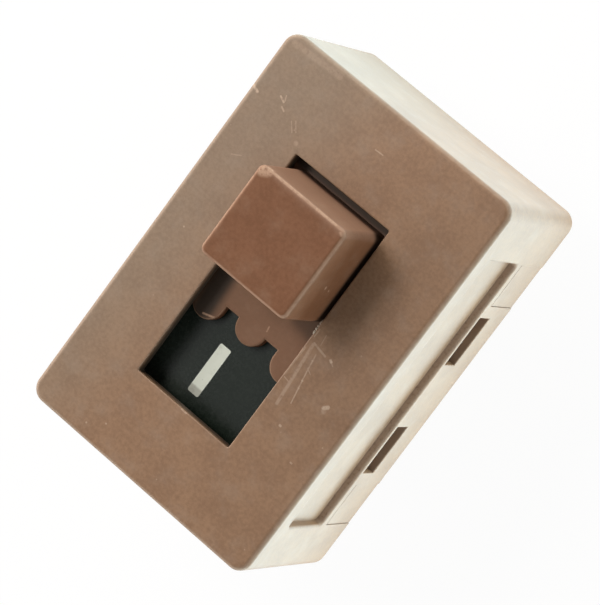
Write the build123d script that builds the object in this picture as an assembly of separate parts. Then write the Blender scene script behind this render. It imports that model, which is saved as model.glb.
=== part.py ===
"""Two-pole slide switch of a cooker hood.

Millimetres. The origin is the centre of the front face, +Z points out of the face and +Y runs along the slot,
towards the end where the knob rests. The switch stands on the tips of its terminal tabs.
"""
import math
import os

from build123d import *

# Overall sizes of the body
BODY_LENGTH = 45.0
BODY_WIDTH = 29.0
BODY_DEPTH = 20.3

# Knob
KNOB_LENGTH = 10.65
KNOB_HEIGHT = 8.3
KNOB_DRAFT_DEGREES = 0.6
KNOB_CORNER_RADIUS = 0.8
KNOB_TOP_RADIUS = 0.5

# Slot, a little off the middle of the face
SLOT_X = -0.45
SLOT_Y = -0.2
SLOT_SIDE_MARGIN = 8.4
SLOT_SIDE_GAP = 0.45
SLOT_END_GAP = 1.075
SLOT_CORNER_RADIUS = 0.2
SLOT_EDGE_RADIUS = 0.15
SLOT_LIP_THICKNESS = 1.4
SLOT_LIP_WIDTH = 1.0

# Housing
FACE_THICKNESS = 2.2
WALL_THICKNESS = 1.8
CORNER_RADIUS = 1.6
INNER_CORNER_RADIUS = 0.5
FACE_EDGE_RADIUS = 0.6

# Clip recess in each long side
RECESS_LENGTH = 32.8
RECESS_TOP = 3.2
RECESS_HEIGHT = 9.1
RECESS_DEPTH = 0.8
RECESS_CORNER_RADIUS = 0.5
RECESS_EDGE_RADIUS = 0.35

# Snap windows and rim notches in each long side
WINDOW_SPACING = 13.76
WINDOW_LENGTH = 5.85
WINDOW_HEIGHT = 3.0
WINDOW_DROP = 0.75
WINDOW_EDGE_RADIUS = 0.15
NOTCH_LENGTH = 5.15
NOTCH_GAP = 1.5
NOTCH_DROP = 1.3

# Carrier plate and legs of the slide knob
RUN_GAP = 0.25
CARRIER_THICKNESS = 1.0
CARRIER_END_GAP = 0.9
CARRIER_EDGE_RADIUS = 0.25
CARRIER_SHOULDER = 1.0
LOBE_INSET = 0.45
LOBE_GAP = 1.6
LOBE_SET = 0.72
LEG_THICKNESS = 1.8
LEG_END = 1.3
LEG_TIP = 1.0
GROOVE_WIDTH = 2.4
GROOVE_DEPTH = 0.55

# Indicator plate and its white bar
PLATE_THICKNESS = 1.1
PLATE_SIDE_GAP = 0.5
EAR_LENGTH = 3.2
EAR_GAP = 0.9
MARK_WIDTH = 1.4
MARK_LENGTH = 5.8
MARK_DEPTH = 0.3
MARK_CORNER_RADIUS = 0.2
MARK_OFFSET = 1.35
MARK_END_GAP = 0.85

# Base
BASE_THICKNESS = 3.0
FIT_GAP = 0.1
HOOK_SIDE_GAP = 0.4
HOOK_THICKNESS = 1.0
HOOK_CATCH_GAP = 0.15
HOOK_TIP_SET = 1.05
NOTCH_TAB_SET = 0.06
NOTCH_TAB_SIDE_GAP = 0.05
NOTCH_TAB_TOP_GAP = 0.3
BASE_RIM_CHAMFER = 0.3

# Terminals
TAB_WIDTH = 4.8
TAB_THICKNESS = 0.8
TAB_REACH = 8.0
TAB_TIP_CHAMFER = 1.0
TAB_EDGE_CHAMFER = 0.2
TAB_HOLE_DIAMETER = 1.4
TAB_HOLE_UP = 3.6
PAD_WIDTH = 5.0
PAD_LENGTH = 5.6
SEAT_GAP = 0.05

# Contacts, bridges and their springs
RIVET_DIAMETER = 3.2
RIVET_SHANK_DIAMETER = 1.6
RIVET_HEAD = 0.4
RIVET_EDGE_RADIUS = 0.15
MOVING_RIVET_HEAD = 0.5
CONTACT_GAP = 0.1
BRIDGE_WIDTH = 4.0
BRIDGE_THICKNESS = 0.6
BRIDGE_END = 2.0
BRIDGE_CORNER_RADIUS = 0.8
BRIDGE_BOSS_DIAMETER = 2.4
BRIDGE_BOSS_HEIGHT = 0.5
SPRING_DIAMETER = 4.0
SPRING_WIRE = 0.45
SPRING_TURNS = 5
SPRING_PLAY = 0.02

# Contact carrier
CHANNEL_GAP = 0.2
CHANNEL_END = 0.5
CHANNEL_ROOM = 1.5
CHANNEL_SKIRT = 0.4
POCKET_DEPTH = 3.0
POCKET_GAP = 0.25
CARRIER_ROOF = 1.0
LUG_HEIGHT = 2.0
LUG_GAP = 0.05
LUG_PLACE_SHARE = 0.4
LUG_LENGTH_SHARE = 0.4
COLUMN_SHARE = 0.62

# Detent springs
DETENT_ROOM = 1.9
LEAF_THICKNESS = 0.25
LEAF_PLAY = 0.025
LEAF_HEIGHT = 4.0
LEAF_DROP = 1.2
LEAF_BEND_RADIUS = 0.5
LEAF_NOSE_GAP = 0.1
LEAF_CREST_SHARE = 0.55
LEAF_FOOT_SHARE = 1.6
LEAF_RUN_GAP = 0.3

# Cuts run this far past the faces that they open
OVERRUN = 1.0

# Room inside the body, and the travel that it leaves between the ears of the plate
HALF_WIDTH = BODY_WIDTH / 2
HALF_LENGTH = BODY_LENGTH / 2
INNER_HALF_WIDTH = HALF_WIDTH - WALL_THICKNESS
INNER_HALF_LENGTH = HALF_LENGTH - WALL_THICKNESS
EAR_END = INNER_HALF_LENGTH - FIT_GAP
EAR_START = EAR_END - EAR_LENGTH
TRAVEL = EAR_START - EAR_GAP - abs(SLOT_Y) - GROOVE_WIDTH / 2 - LEG_END
HALF_TRAVEL = TRAVEL / 2

# Slot, knob and rim notches
SLOT_WIDTH = BODY_WIDTH - 2 * SLOT_SIDE_MARGIN
SLOT_LENGTH = KNOB_LENGTH + TRAVEL + 2 * SLOT_END_GAP
KNOB_WIDTH = SLOT_WIDTH - 2 * SLOT_SIDE_GAP
KNOB_Y = SLOT_Y + HALF_TRAVEL
NOTCH_SPACING = WINDOW_SPACING + WINDOW_LENGTH + NOTCH_LENGTH + 2 * NOTCH_GAP

# Levels, from the face down
FACE_UNDER = -FACE_THICKNESS
CARRIER_TOP = FACE_UNDER - RUN_GAP
CARRIER_UNDER = CARRIER_TOP - CARRIER_THICKNESS
PLATE_TOP = CARRIER_UNDER - RUN_GAP
PLATE_UNDER = PLATE_TOP - PLATE_THICKNESS
RECESS_UNDER = -RECESS_TOP - RECESS_HEIGHT
WINDOW_TOP = RECESS_UNDER - WINDOW_DROP
WINDOW_UNDER = WINDOW_TOP - WINDOW_HEIGHT
NOTCH_TOP = RECESS_UNDER - NOTCH_DROP
RIM = -BODY_DEPTH

# Levels, from the rim up
TAB_TIP = RIM - TAB_REACH
BASE_TOP = RIM + BASE_THICKNESS
FIXED_CONTACT_TOP = BASE_TOP + RIVET_HEAD
MOVING_CONTACT_UNDER = FIXED_CONTACT_TOP + CONTACT_GAP
BRIDGE_UNDER = MOVING_CONTACT_UNDER + MOVING_RIVET_HEAD
BRIDGE_TOP = BRIDGE_UNDER + BRIDGE_THICKNESS
BLOCK_UNDER = BRIDGE_TOP - CHANNEL_SKIRT
CHANNEL_TOP = BRIDGE_TOP + CHANNEL_ROOM
POCKET_TOP = CHANNEL_TOP + POCKET_DEPTH
BLOCK_TOP = POCKET_TOP + CARRIER_ROOF
LUG_Z = (BLOCK_UNDER + BLOCK_TOP) / 2
LEG_UNDER = LUG_Z - LUG_HEIGHT / 2 - LEG_TIP

# Places across the width, from the walls inwards
LEAF_ROOM = LEAF_THICKNESS + 2 * LEAF_PLAY
POST_OUTER = INNER_HALF_WIDTH - LEAF_ROOM
LEG_OUTER = INNER_HALF_WIDTH - DETENT_ROOM
LEG_INNER = LEG_OUTER - LEG_THICKNESS
POST_INNER = LEG_OUTER + LEAF_RUN_GAP
PLATE_HALF_WIDTH = LEG_INNER - PLATE_SIDE_GAP
BLOCK_HALF_WIDTH = LEG_INNER - FIT_GAP
COLUMN_X = BLOCK_HALF_WIDTH * COLUMN_SHARE

# Places along the slide
LEG_HALF_LENGTH = HALF_TRAVEL + GROOVE_WIDTH / 2 + LEG_END
BLOCK_HALF_LENGTH = HALF_TRAVEL + BRIDGE_END + 2 * CHANNEL_END
LOBE_PITCH = KNOB_WIDTH / 2 - LOBE_INSET
LOBE_RADIUS = (LOBE_PITCH - LOBE_GAP) / 2
CARRIER_REACH = INNER_HALF_LENGTH - abs(SLOT_Y) - HALF_TRAVEL - CARRIER_END_GAP
OUTER_LOBE_Y = CARRIER_REACH - LOBE_RADIUS
CARRIER_EDGE_Y = OUTER_LOBE_Y - LOBE_SET
LEAF_END = EAR_END - INNER_CORNER_RADIUS
LUG_Y = HALF_TRAVEL * LUG_PLACE_SHARE
LUG_LENGTH = HALF_TRAVEL * LUG_LENGTH_SHARE

SIDES = {"left": -1, "right": 1}
ROWS = {"lower": -1, "middle": 0, "upper": 1}


def span(middle, length):
    """Two limits of a length about its middle."""
    return (middle - length / 2, middle + length / 2)


def outward(side, inner, outer):
    """Two limits across the width on one side, lowest first."""
    return tuple(sorted((side * inner, side * outer)))


def block(x_span, y_span, z_span):
    """Box between two limits on each axis."""
    spans = (x_span, y_span, z_span)
    sizes = [high - low for low, high in spans]
    middles = [(low + high) / 2 for low, high in spans]
    return Pos(*middles) * Box(*sizes)


def rounded_block(x_span, y_span, z_span, radius):
    """Block whose edges along Z are rounded."""
    return fillet(block(x_span, y_span, z_span).edges().filter_by(Axis.Z), radius)


def rod(x, y, z_span, diameter):
    """Upright cylinder between two levels."""
    low, high = z_span
    return Pos(x, y, (low + high) / 2) * Cylinder(diameter / 2, high - low)


def slot_cutter():
    """Through cut of the knob's slot."""
    return rounded_block(
        span(SLOT_X, SLOT_WIDTH),
        span(SLOT_Y, SLOT_LENGTH),
        (FACE_UNDER - OVERRUN, OVERRUN),
        SLOT_CORNER_RADIUS,
    )


def clip_recess(side):
    """Shallow recess in one long side for a panel clip."""
    recess = block(
        outward(side, HALF_WIDTH - RECESS_DEPTH, HALF_WIDTH + OVERRUN),
        span(0, RECESS_LENGTH),
        (RECESS_UNDER, -RECESS_TOP),
    )
    return fillet(recess.edges().filter_by(Axis.X), RECESS_CORNER_RADIUS)


def wall_cut(side, y, length, z_span):
    """Cut straight through one long wall."""
    return block(outward(side, INNER_HALF_WIDTH - OVERRUN, HALF_WIDTH + OVERRUN), span(y, length), z_span)


def lip_relief():
    """Cut from beneath that thins the face around the slot."""
    return rounded_block(
        span(SLOT_X, SLOT_WIDTH + 2 * SLOT_LIP_WIDTH),
        span(SLOT_Y, SLOT_LENGTH + 2 * SLOT_LIP_WIDTH),
        (FACE_UNDER - OVERRUN, -SLOT_LIP_THICKNESS),
        SLOT_CORNER_RADIUS,
    )


def side_cuts(shell, side):
    """Outlines of the windows and the recess in one long side, lowest first."""
    wall = shell.faces().sort_by(Axis.X, reverse=side < 0)[-1]
    return wall.inner_wires().sort_by(Axis.Z)


def ease_side_cuts(shell, side):
    """Small radius on the outer edges of one long side's recess and windows."""
    shell = fillet(side_cuts(shell, side)[-1].edges(), RECESS_EDGE_RADIUS)
    windows = side_cuts(shell, side)[:-1]
    return fillet([edge for window in windows for edge in window.edges()], WINDOW_EDGE_RADIUS)


def make_housing():
    """Moulded cap: face, slot, walls, clip recesses, snap windows, rim notches and stops for the plate."""
    shell = rounded_block(span(0, BODY_WIDTH), span(0, BODY_LENGTH), (RIM, 0), CORNER_RADIUS)
    shell = fillet(shell.edges().group_by(Axis.Z)[-1], FACE_EDGE_RADIUS)
    shell -= rounded_block(
        span(0, 2 * INNER_HALF_WIDTH),
        span(0, 2 * INNER_HALF_LENGTH),
        (RIM - OVERRUN, FACE_UNDER),
        INNER_CORNER_RADIUS,
    )
    shell -= slot_cutter()
    shell -= lip_relief()
    mouth = shell.faces().sort_by(Axis.Z)[-1].inner_wires()[0]
    shell = fillet(mouth.edges(), SLOT_EDGE_RADIUS)
    for side in SIDES.values():
        shell -= clip_recess(side)
        for end in SIDES.values():
            shell -= wall_cut(side, end * WINDOW_SPACING / 2, WINDOW_LENGTH, (WINDOW_UNDER, WINDOW_TOP))
            shell -= wall_cut(side, end * NOTCH_SPACING / 2, NOTCH_LENGTH, (RIM - OVERRUN, NOTCH_TOP))
            shell += block(
                outward(side, POST_INNER, INNER_HALF_WIDTH + WALL_THICKNESS / 2),
                outward(end, EAR_START, INNER_HALF_LENGTH + WALL_THICKNESS / 2),
                (PLATE_TOP, FACE_UNDER + FACE_THICKNESS / 2),
            )
        shell = ease_side_cuts(shell, side)
    return shell


def carrier_outline():
    """Plan of the carrier plate about the knob's centre: wide middle, narrower ends, three lobes at each end."""
    shoulder = LOBE_PITCH + LOBE_RADIUS + CARRIER_SHOULDER
    plan = Pos(SLOT_X, 0) * Rectangle(2 * shoulder, 2 * CARRIER_EDGE_Y)
    plan += Rectangle(2 * LEG_OUTER, 2 * LEG_HALF_LENGTH)
    for end in SIDES.values():
        plan += Pos(SLOT_X, end * CARRIER_EDGE_Y) * Circle(LOBE_RADIUS)
        for side in SIDES.values():
            x = SLOT_X + side * LOBE_PITCH
            plan += Pos(x, end * OUTER_LOBE_Y) * Circle(LOBE_RADIUS)
            plan += Pos(x, end * CARRIER_EDGE_Y) * Rectangle(2 * LOBE_RADIUS, 2 * LOBE_SET)
    return plan


def knob_outline(inset):
    """Plan of the knob, drawn in all round by its draft."""
    width = KNOB_WIDTH - 2 * inset
    length = KNOB_LENGTH - 2 * inset
    return Pos(SLOT_X, KNOB_Y) * RectangleRounded(width, length, KNOB_CORNER_RADIUS - inset)


def make_slide_knob():
    """Knob, carrier plate and two legs in one moulding."""
    plate = extrude(Pos(0, KNOB_Y, CARRIER_UNDER) * carrier_outline(), CARRIER_THICKNESS)
    plate = fillet(plate.edges().group_by(Axis.Z)[-1], CARRIER_EDGE_RADIUS)
    foot = knob_outline(0)
    crown = knob_outline(KNOB_HEIGHT * math.tan(math.radians(KNOB_DRAFT_DEGREES)))
    knob = loft([foot, Pos(0, 0, KNOB_HEIGHT) * crown], ruled=True)
    knob = fillet(knob.edges().group_by(Axis.Z)[-1], KNOB_TOP_RADIUS)
    knob += extrude(foot, CARRIER_UNDER)
    slide = plate + knob
    for side in SIDES.values():
        leg = block(
            outward(side, LEG_INNER, LEG_OUTER),
            span(KNOB_Y, 2 * LEG_HALF_LENGTH),
            (LEG_UNDER, CARRIER_TOP - CARRIER_EDGE_RADIUS),
        )
        slide += leg
        for end in SIDES.values():
            slide -= detent_groove(side, KNOB_Y + end * HALF_TRAVEL)
            slide -= block(
                outward(side, LEG_INNER - OVERRUN, LEG_OUTER + OVERRUN),
                span(KNOB_Y + end * LUG_Y, LUG_LENGTH),
                span(LUG_Z, LUG_HEIGHT),
            )
    return slide


def detent_groove(side, y):
    """V-groove down the outer face of a leg."""
    mouth = LEG_OUTER + OVERRUN
    slope_share = 1 + OVERRUN / GROOVE_DEPTH
    reach = GROOVE_WIDTH / 2 * slope_share
    outline = Polyline(
        (side * mouth, y - reach),
        (side * (LEG_OUTER - GROOVE_DEPTH), y),
        (side * mouth, y + reach),
        close=True,
    )
    return extrude(Pos(0, 0, LEG_UNDER - OVERRUN) * make_face(outline), PLATE_UNDER - LEG_UNDER + OVERRUN)


def make_contact_carrier():
    """Crossbar under the plate with a channel and a spring pocket for each bridge, and lugs in the legs."""
    bar = block(
        span(0, 2 * BLOCK_HALF_WIDTH),
        span(KNOB_Y, 2 * BLOCK_HALF_LENGTH),
        (BLOCK_UNDER, BLOCK_TOP),
    )
    for side in SIDES.values():
        x = side * COLUMN_X
        bar -= block(
            span(x, BRIDGE_WIDTH + 2 * CHANNEL_GAP),
            span(KNOB_Y, TRAVEL + 2 * BRIDGE_END + 2 * CHANNEL_GAP),
            (BLOCK_UNDER - OVERRUN, CHANNEL_TOP),
        )
        bar -= rod(x, KNOB_Y, (CHANNEL_TOP - OVERRUN, POCKET_TOP), SPRING_DIAMETER + 2 * POCKET_GAP)
        for end in SIDES.values():
            bar += block(
                outward(side, BLOCK_HALF_WIDTH - OVERRUN, LEG_OUTER - GROOVE_DEPTH),
                span(KNOB_Y + end * LUG_Y, LUG_LENGTH - 2 * LUG_GAP),
                span(LUG_Z, LUG_HEIGHT - 2 * LUG_GAP),
            )
    return bar


def make_indicator_plate():
    """Flat plate with an ear at each corner and a shallow pocket for the white bar."""
    plate = block(
        span(0, 2 * PLATE_HALF_WIDTH),
        span(0, 2 * EAR_END),
        (PLATE_UNDER, PLATE_TOP),
    )
    for end in SIDES.values():
        plate += block(span(0, 2 * POST_OUTER), outward(end, EAR_START, EAR_END), (PLATE_UNDER, PLATE_TOP))
    return plate - make_indicator_mark()


def make_indicator_mark():
    """White bar let into the plate, in the end of the slot that the knob has left."""
    y_end = SLOT_Y - SLOT_LENGTH / 2 + MARK_END_GAP
    return rounded_block(
        span(SLOT_X - MARK_OFFSET, MARK_WIDTH),
        (y_end, y_end + MARK_LENGTH),
        (PLATE_TOP - MARK_DEPTH, PLATE_TOP),
        MARK_CORNER_RADIUS,
    )


def make_hook(side, y):
    """Snap hook that rises from the base and catches on the lower edge of a window."""
    root = INNER_HALF_WIDTH - FIT_GAP
    nose = HALF_WIDTH - HOOK_TIP_SET
    tip = WINDOW_TOP - HOOK_CATCH_GAP
    catch = WINDOW_UNDER + HOOK_CATCH_GAP
    outline = Polyline(
        (side * (root - HOOK_THICKNESS), BASE_TOP),
        (side * (root - HOOK_THICKNESS), tip),
        (side * root, tip),
        (side * nose, catch),
        (side * root, catch),
        (side * root, BASE_TOP),
        close=True,
    )
    width = WINDOW_LENGTH - 2 * HOOK_SIDE_GAP
    face = Plane.XZ.offset(-y - width / 2) * make_face(outline)
    return extrude(face, width)


def make_notch_tab(side, y):
    """Tab of the base that fills a rim notch, a little below the wall's surface."""
    return block(
        outward(side, INNER_HALF_WIDTH - HOOK_THICKNESS, HALF_WIDTH - NOTCH_TAB_SET),
        span(y, NOTCH_LENGTH - 2 * NOTCH_TAB_SIDE_GAP),
        (RIM, NOTCH_TOP - NOTCH_TAB_TOP_GAP),
    )


def make_base():
    """Floor that closes the housing, with hooks, notch tabs, plate posts and seats for the terminals."""
    floor = rounded_block(
        span(0, 2 * (INNER_HALF_WIDTH - FIT_GAP)),
        span(0, 2 * (INNER_HALF_LENGTH - FIT_GAP)),
        (RIM, BASE_TOP),
        INNER_CORNER_RADIUS,
    )
    floor = chamfer(floor.edges().group_by(Axis.Z)[0], BASE_RIM_CHAMFER)
    for side in SIDES.values():
        for end in SIDES.values():
            floor += make_hook(side, end * WINDOW_SPACING / 2)
            floor += make_notch_tab(side, end * NOTCH_SPACING / 2)
            floor += block(
                outward(side, POST_INNER, POST_OUTER),
                outward(end, EAR_START, EAR_END),
                (BASE_TOP, PLATE_UNDER),
            )
        for row in ROWS.values():
            floor -= terminal_seat(side, terminal_y(row))
    return floor


def terminal_y(row):
    """Place of a row of terminals along the slide."""
    return SLOT_Y + row * TRAVEL


def terminal_seat(side, y):
    """Pocket for a terminal's pad and the slot for its tab."""
    inner = COLUMN_X - PAD_WIDTH / 2
    outer = COLUMN_X + PAD_WIDTH / 2
    seat = block(
        outward(side, inner - SEAT_GAP, outer + SEAT_GAP),
        span(y, PAD_LENGTH + 2 * SEAT_GAP),
        (BASE_TOP - TAB_THICKNESS, BASE_TOP + OVERRUN),
    )
    seat += block(
        outward(side, outer - TAB_THICKNESS - SEAT_GAP, outer + SEAT_GAP),
        span(y, TAB_WIDTH + 2 * SEAT_GAP),
        (RIM - OVERRUN, BASE_TOP),
    )
    return seat


def make_terminal(side, y):
    """Stamped terminal: a flat pad, bent down at its outer edge into a blade tab."""
    outer = COLUMN_X + PAD_WIDTH / 2
    pad_under = BASE_TOP - TAB_THICKNESS
    pad = block(
        outward(side, COLUMN_X - PAD_WIDTH / 2, outer),
        span(y, PAD_LENGTH),
        (pad_under, BASE_TOP),
    )
    tab = block(outward(side, outer - TAB_THICKNESS, outer), span(y, TAB_WIDTH), (TAB_TIP, pad_under))
    tip = tab.edges().filter_by(Axis.X).group_by(Axis.Z)[0]
    tab = chamfer(tip, TAB_TIP_CHAMFER)
    tip = tab.faces().sort_by(Axis.Z)[0].edges().filter_by(Axis.Y)
    tab = chamfer(tip, TAB_EDGE_CHAMFER)
    hole = Pos(side * outer, y, TAB_TIP + TAB_HOLE_UP) * Rot(0, 90, 0)
    tab -= hole * Cylinder(TAB_HOLE_DIAMETER / 2, 2 * (TAB_THICKNESS + OVERRUN))
    bend = pad.edges().filter_by(Axis.Y).group_by(Axis.Z)[-1].sort_by(Axis.X, reverse=side < 0)[-1]
    pad = fillet(bend, TAB_THICKNESS / 2)
    pad -= rod(side * COLUMN_X, y, (pad_under - OVERRUN, BASE_TOP + OVERRUN), RIVET_SHANK_DIAMETER)
    return pad + tab


def make_fixed_contact(side, y):
    """Contact rivet in a terminal's pad."""
    x = side * COLUMN_X
    head = rod(x, y, (BASE_TOP, FIXED_CONTACT_TOP), RIVET_DIAMETER)
    head = fillet(head.edges().group_by(Axis.Z)[-1], RIVET_EDGE_RADIUS)
    return head + rod(x, y, (BASE_TOP - TAB_THICKNESS, BASE_TOP), RIVET_SHANK_DIAMETER)


def make_moving_contact(side, end):
    """Contact rivet in one end of a bridge."""
    x = side * COLUMN_X
    y = KNOB_Y + end * HALF_TRAVEL
    head = rod(x, y, (MOVING_CONTACT_UNDER, BRIDGE_UNDER), RIVET_DIAMETER)
    head = fillet(head.edges().group_by(Axis.Z)[0], RIVET_EDGE_RADIUS)
    return head + rod(x, y, (BRIDGE_UNDER, BRIDGE_TOP), RIVET_SHANK_DIAMETER)


def make_contact_bridge(side):
    """Strip that joins two terminals of a pole, with a boss that centres its spring."""
    x = side * COLUMN_X
    strip = rounded_block(
        span(x, BRIDGE_WIDTH),
        span(KNOB_Y, TRAVEL + 2 * BRIDGE_END),
        (BRIDGE_UNDER, BRIDGE_TOP),
        BRIDGE_CORNER_RADIUS,
    )
    strip += rod(x, KNOB_Y, (BRIDGE_TOP, BRIDGE_TOP + BRIDGE_BOSS_HEIGHT), BRIDGE_BOSS_DIAMETER)
    for end in SIDES.values():
        y = KNOB_Y + end * HALF_TRAVEL
        strip -= rod(x, y, (BRIDGE_UNDER - OVERRUN, BRIDGE_TOP + OVERRUN), RIVET_SHANK_DIAMETER)
    return strip


def make_contact_spring(side):
    """Coil spring between a bridge and the roof of its pocket."""
    seat = SPRING_WIRE / 2 + SPRING_PLAY
    height = POCKET_TOP - BRIDGE_TOP - 2 * seat
    radius = (SPRING_DIAMETER - SPRING_WIRE) / 2
    coil = Helix(height / SPRING_TURNS, height, radius)
    wire = sweep(Plane(coil @ 0, z_dir=coil % 0) * Circle(SPRING_WIRE / 2), coil, is_frenet=True)
    return Pos(side * COLUMN_X, KNOB_Y, BRIDGE_TOP + seat) * wire


def make_detent_spring(side):
    """Leaf held between the posts and a long wall, with a nose that sits in a groove of the leg."""
    wall = INNER_HALF_WIDTH - LEAF_PLAY - LEAF_THICKNESS / 2
    crest = LEG_OUTER + LEAF_RUN_GAP + LEAF_THICKNESS / 2
    nose = LEG_OUTER - GROOVE_DEPTH + LEAF_NOSE_GAP + LEAF_THICKNESS
    foot_y = HALF_TRAVEL * LEAF_FOOT_SHARE
    crest_y = GROOVE_WIDTH * LEAF_CREST_SHARE
    path = FilletPolyline(
        (side * wall, -LEAF_END),
        (side * wall, SLOT_Y - foot_y),
        (side * crest, SLOT_Y - crest_y),
        (side * nose, SLOT_Y),
        (side * crest, SLOT_Y + crest_y),
        (side * wall, SLOT_Y + foot_y),
        (side * wall, LEAF_END),
        radius=LEAF_BEND_RADIUS,
    )
    top = PLATE_UNDER - LEAF_DROP
    return extrude(Pos(0, 0, top - LEAF_HEIGHT) * trace(path, LEAF_THICKNESS), LEAF_HEIGHT)


def make_parts():
    """Every node of the switch by name."""
    parts = {
        "housing": make_housing(),
        "slide_knob": make_slide_knob(),
        "contact_carrier": make_contact_carrier(),
        "indicator_plate": make_indicator_plate(),
        "indicator_mark": make_indicator_mark(),
        "base": make_base(),
    }
    fixed = []
    moving = []
    for name, side in SIDES.items():
        parts[f"contact_bridge_{name}"] = make_contact_bridge(side)
        parts[f"contact_spring_{name}"] = make_contact_spring(side)
        parts[f"detent_spring_{name}"] = make_detent_spring(side)
        moving += [make_moving_contact(side, end) for end in SIDES.values()]
        for row_name, row in ROWS.items():
            y = terminal_y(row)
            parts[f"terminal_{name}_{row_name}"] = make_terminal(side, y)
            fixed.append(make_fixed_contact(side, y))
    parts["fixed_contacts"] = Compound(fixed)
    parts["moving_contacts"] = Compound(moving)
    return parts


os.makedirs("parts", exist_ok=True)
for node, shape in make_parts().items():
    export_step(shape, f"parts/{node}.step")
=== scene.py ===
"""Looks of a cooker hood slide switch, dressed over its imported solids.

Metres, in the frame of the solids: the origin is the centre of the front face, +Z points out of the face and +Y runs
along the slot, towards the end where the knob rests. Sizes in the classes are millimetres.
"""
import logging
import math
from dataclasses import dataclass
from enum import Enum

import bmesh
import bpy
from mathutils import Matrix, Vector


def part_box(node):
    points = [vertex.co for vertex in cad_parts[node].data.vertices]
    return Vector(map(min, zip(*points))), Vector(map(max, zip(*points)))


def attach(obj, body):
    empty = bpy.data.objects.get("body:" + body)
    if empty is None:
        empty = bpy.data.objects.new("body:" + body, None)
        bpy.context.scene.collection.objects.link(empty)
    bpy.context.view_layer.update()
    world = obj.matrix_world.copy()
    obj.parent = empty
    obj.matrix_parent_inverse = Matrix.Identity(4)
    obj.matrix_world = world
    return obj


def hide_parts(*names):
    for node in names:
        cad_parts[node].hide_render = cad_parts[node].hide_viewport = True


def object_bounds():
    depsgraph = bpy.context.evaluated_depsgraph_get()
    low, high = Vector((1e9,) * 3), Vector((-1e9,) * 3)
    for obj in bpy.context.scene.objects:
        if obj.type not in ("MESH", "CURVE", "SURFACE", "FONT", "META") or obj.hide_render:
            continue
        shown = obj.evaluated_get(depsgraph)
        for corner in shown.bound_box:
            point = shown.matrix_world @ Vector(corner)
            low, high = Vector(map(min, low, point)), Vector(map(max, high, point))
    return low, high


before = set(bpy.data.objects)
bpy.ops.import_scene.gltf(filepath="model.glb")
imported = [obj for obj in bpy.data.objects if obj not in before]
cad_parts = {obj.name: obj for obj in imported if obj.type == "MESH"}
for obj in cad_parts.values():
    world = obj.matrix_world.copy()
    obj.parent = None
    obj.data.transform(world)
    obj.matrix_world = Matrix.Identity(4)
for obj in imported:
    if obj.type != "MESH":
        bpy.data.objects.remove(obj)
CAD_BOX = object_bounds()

LOG = logging.getLogger("slide_switch")
MM = 0.001
BODY = "switch_body"
SLIDER = "slider"
MERGE_DISTANCE = 0.0005 * MM
SHARP_ANGLE = math.radians(35.0)
NOISE_ROUGHNESS = 0.6
BUMP_STRENGTH = 0.6
MARK_CORE_SHARE = 0.3

Point = tuple[float, float, float]
Colour = tuple[float, float, float]
Range = tuple[float, float]
Socket = bpy.types.NodeSocket


class Side(Enum):
    """The two long sides of the switch."""

    LEFT = -1
    RIGHT = 1


class Signal:
    """A value socket that Python operators extend with Math nodes."""

    def __init__(self, graph: "Graph", socket: Socket) -> None:
        """Keep the socket and the graph that it belongs to."""
        self.graph = graph
        self.socket = socket

    def math(self, operation: str, *values: "Signal | float", clamp: bool = False) -> "Signal":
        """Add one Math node.

        Args:
            operation: Name of the Math node's operation.
            values: Its inputs in order.
            clamp: Whether the result is held between 0 and 1.

        Returns:
            The node's result.
        """
        settings = {"operation": operation, "use_clamp": clamp}
        node = self.graph.add("ShaderNodeMath", settings, dict(enumerate(values)))
        return Signal(self.graph, node.outputs[0])

    def __add__(self, other: "Signal | float") -> "Signal":
        """Sum."""
        return self.math("ADD", self, other)

    def __radd__(self, other: float) -> "Signal":
        """Sum with a number in front."""
        return self.math("ADD", other, self)

    def __sub__(self, other: "Signal | float") -> "Signal":
        """Difference."""
        return self.math("SUBTRACT", self, other)

    def __rsub__(self, other: float) -> "Signal":
        """Difference from a number."""
        return self.math("SUBTRACT", other, self)

    def __mul__(self, other: "Signal | float") -> "Signal":
        """Product."""
        return self.math("MULTIPLY", self, other)

    def __rmul__(self, other: float) -> "Signal":
        """Product with a number in front."""
        return self.math("MULTIPLY", other, self)

    def larger(self, other: "Signal | float") -> "Signal":
        """The larger of two values."""
        return self.math("MAXIMUM", self, other)

    def clamped(self) -> "Signal":
        """The value held between 0 and 1."""
        return self.math("ADD", self, 0.0, clamp=True)

    def band(self, low: float, high: float) -> "Signal":
        """Smooth step.

        Args:
            low: Value that gives 0.
            high: Value that gives 1. It may be below low.

        Returns:
            A signal between 0 and 1.
        """
        settings = {"interpolation_type": "SMOOTHSTEP"}
        inputs = {"Value": self, "From Min": low, "From Max": high}
        return Signal(self.graph, self.graph.add("ShaderNodeMapRange", settings, inputs).outputs[0])


class Graph:
    """Adds nodes to one node tree."""

    def __init__(self, tree: bpy.types.NodeTree) -> None:
        """Keep the tree."""
        self.tree = tree

    def add(self, kind: str, settings: dict | None = None, inputs: dict | None = None) -> bpy.types.Node:
        """Add a node.

        Args:
            kind: Type of the node.
            settings: Its properties, set first.
            inputs: Values or links of its sockets, by name or number.

        Returns:
            The node.
        """
        node = self.tree.nodes.new(kind)
        for key, value in (settings or {}).items():
            setattr(node, key, value)
        for key, value in (inputs or {}).items():
            socket = node.inputs[key]
            source = value.socket if isinstance(value, Signal) else value
            if isinstance(source, Socket):
                self.tree.links.new(source, socket)
            else:
                socket.default_value = source
        return node


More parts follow.
